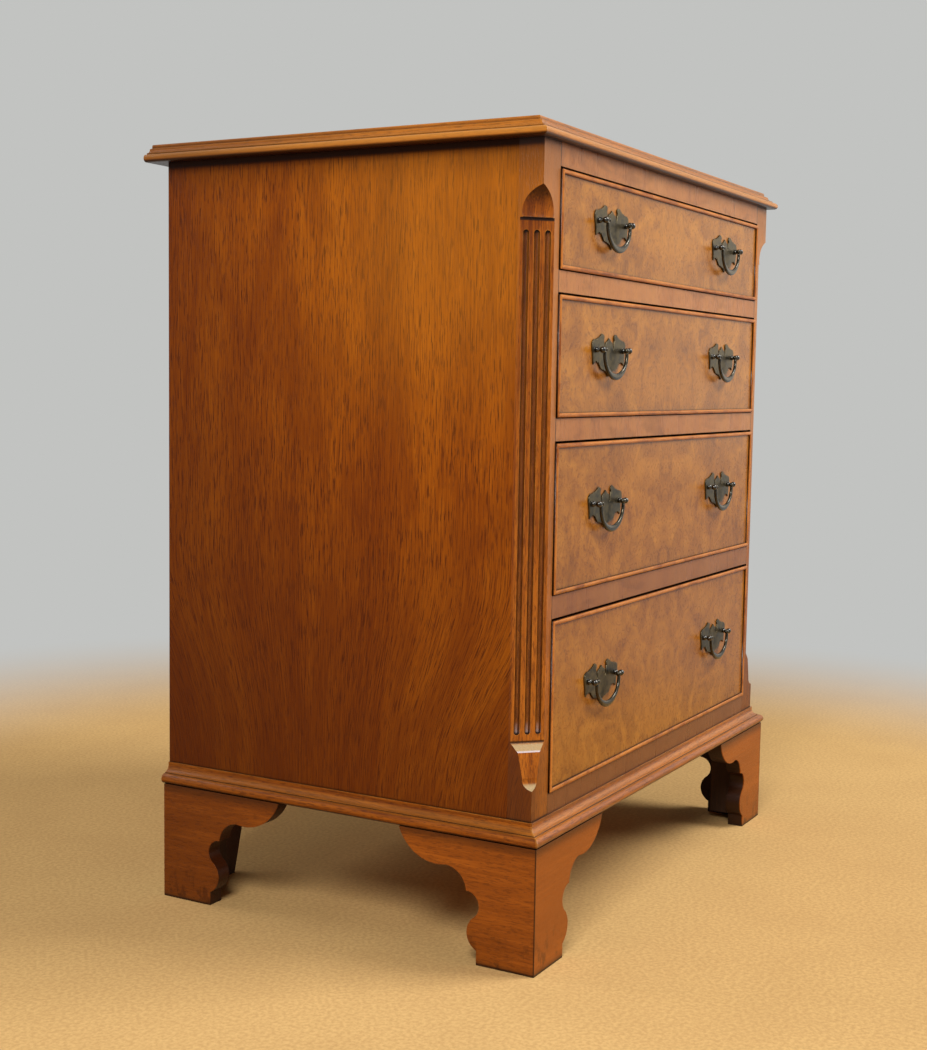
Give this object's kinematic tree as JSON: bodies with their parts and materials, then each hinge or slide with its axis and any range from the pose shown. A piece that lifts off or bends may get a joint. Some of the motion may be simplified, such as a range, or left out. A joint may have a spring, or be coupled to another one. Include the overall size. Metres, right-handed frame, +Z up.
{
  "type": "bachelors chest",
  "caption": "Bachelor's chest with graduated beaded drawers on swinging bail handles, fluted canted corners, a moulded top and shaped bracket feet.",
  "frame": {"origin": "on the floor, under the middle of the chest's outer box", "axes": "+Z up, -Y the way the drawers open, +X to the right seen from the front"},
  "size_m": [0.626, 0.448, 0.76],
  "materials": {
    "walnut": "polished warm walnut",
    "rail_walnut": "polished cross-grained walnut",
    "burr_walnut": "polished burr walnut veneer",
    "bead_walnut": "polished walnut, worn light on its edges",
    "drawer_oak": "plain oak drawer lining",
    "pine": "plain stained pine",
    "aged_brass": "dark aged brass"
  },
  "bodies": {
    "carcass": {"top_board": "walnut", "top_edge_front": "walnut", "top_edge_left": "walnut", "top_edge_right": "walnut", "side_panel_left": "walnut", "side_panel_right": "walnut", "corner_post_left": "walnut", "corner_post_right": "walnut", "top_rail": "rail_walnut", "divider_rail_1": "rail_walnut", "divider_rail_2": "rail_walnut", "divider_rail_3": "rail_walnut", "bottom_rail": "rail_walnut", "back_panel": "pine", "bottom_board": "pine", "drawer_runners": "pine", "drawer_guides": "pine", "top_kickers": "pine", "drawer_stops": "pine", "base_moulding_front": "walnut", "base_moulding_left": "walnut", "base_moulding_right": "walnut", "front_foot_left": "walnut", "front_foot_right": "walnut", "rear_foot_left": "walnut", "rear_foot_right": "walnut", "glue_blocks": "pine"},
    "drawer_1": {"drawer_1_front": "burr_walnut", "drawer_1_cock_beads": "bead_walnut", "drawer_1_box": "drawer_oak", "drawer_1_bottom": "drawer_oak", "drawer_1_backplates": "aged_brass", "drawer_1_handle_posts": "aged_brass"},
    "drawer_1_bail_left": {"drawer_1_bail_left": "aged_brass"},
    "drawer_1_bail_right": {"drawer_1_bail_right": "aged_brass"},
    "drawer_2": {"drawer_2_front": "burr_walnut", "drawer_2_cock_beads": "bead_walnut", "drawer_2_box": "drawer_oak", "drawer_2_bottom": "drawer_oak", "drawer_2_backplates": "aged_brass", "drawer_2_handle_posts": "aged_brass"},
    "drawer_2_bail_left": {"drawer_2_bail_left": "aged_brass"},
    "drawer_2_bail_right": {"drawer_2_bail_right": "aged_brass"},
    "drawer_3": {"drawer_3_front": "burr_walnut", "drawer_3_cock_beads": "bead_walnut", "drawer_3_box": "drawer_oak", "drawer_3_bottom": "drawer_oak", "drawer_3_backplates": "aged_brass", "drawer_3_handle_posts": "aged_brass"},
    "drawer_3_bail_left": {"drawer_3_bail_left": "aged_brass"},
    "drawer_3_bail_right": {"drawer_3_bail_right": "aged_brass"},
    "drawer_4": {"drawer_4_front": "burr_walnut", "drawer_4_cock_beads": "bead_walnut", "drawer_4_box": "drawer_oak", "drawer_4_bottom": "drawer_oak", "drawer_4_backplates": "aged_brass", "drawer_4_handle_posts": "aged_brass"},
    "drawer_4_bail_left": {"drawer_4_bail_left": "aged_brass"},
    "drawer_4_bail_right": {"drawer_4_bail_right": "aged_brass"}
  },
  "joints": [
    {"name": "drawer_1_slide", "type": "slide", "parent": "carcass", "child": "drawer_1", "axis": [0, -1, 0], "range_m": [0, 0.3]},
    {"name": "drawer_1_bail_left_swing", "type": "hinge", "parent": "drawer_1", "child": "drawer_1_bail_left", "pos_m": [-0.155, -0.22005, 0.68124], "axis": [-1, 0, 0], "range_deg": [-10, 165]},
    {"name": "drawer_1_bail_right_swing", "type": "hinge", "parent": "drawer_1", "child": "drawer_1_bail_right", "pos_m": [0.155, -0.22005, 0.68124], "axis": [-1, 0, 0], "range_deg": [-10, 165]},
    {"name": "drawer_2_slide", "type": "slide", "parent": "carcass", "child": "drawer_2", "axis": [0, -1, 0], "range_m": [0, 0.3]},
    {"name": "drawer_2_bail_left_swing", "type": "hinge", "parent": "drawer_2", "child": "drawer_2_bail_left", "pos_m": [-0.155, -0.22005, 0.56203], "axis": [-1, 0, 0], "range_deg": [-10, 165]},
    {"name": "drawer_2_bail_right_swing", "type": "hinge", "parent": "drawer_2", "child": "drawer_2_bail_right", "pos_m": [0.155, -0.22005, 0.56203], "axis": [-1, 0, 0], "range_deg": [-10, 165]},
    {"name": "drawer_3_slide", "type": "slide", "parent": "carcass", "child": "drawer_3", "axis": [0, -1, 0], "range_m": [0, 0.3]},
    {"name": "drawer_3_bail_left_swing", "type": "hinge", "parent": "drawer_3", "child": "drawer_3_bail_left", "pos_m": [-0.155, -0.22005, 0.4175], "axis": [-1, 0, 0], "range_deg": [-10, 165]},
    {"name": "drawer_3_bail_right_swing", "type": "hinge", "parent": "drawer_3", "child": "drawer_3_bail_right", "pos_m": [0.155, -0.22005, 0.4175], "axis": [-1, 0, 0], "range_deg": [-10, 165]},
    {"name": "drawer_4_slide", "type": "slide", "parent": "carcass", "child": "drawer_4", "axis": [0, -1, 0], "range_m": [0, 0.3]},
    {"name": "drawer_4_bail_left_swing", "type": "hinge", "parent": "drawer_4", "child": "drawer_4_bail_left", "pos_m": [-0.155, -0.22005, 0.24747], "axis": [-1, 0, 0], "range_deg": [-10, 165]},
    {"name": "drawer_4_bail_right_swing", "type": "hinge", "parent": "drawer_4", "child": "drawer_4_bail_right", "pos_m": [0.155, -0.22005, 0.24747], "axis": [-1, 0, 0], "range_deg": [-10, 165]}
  ]
}
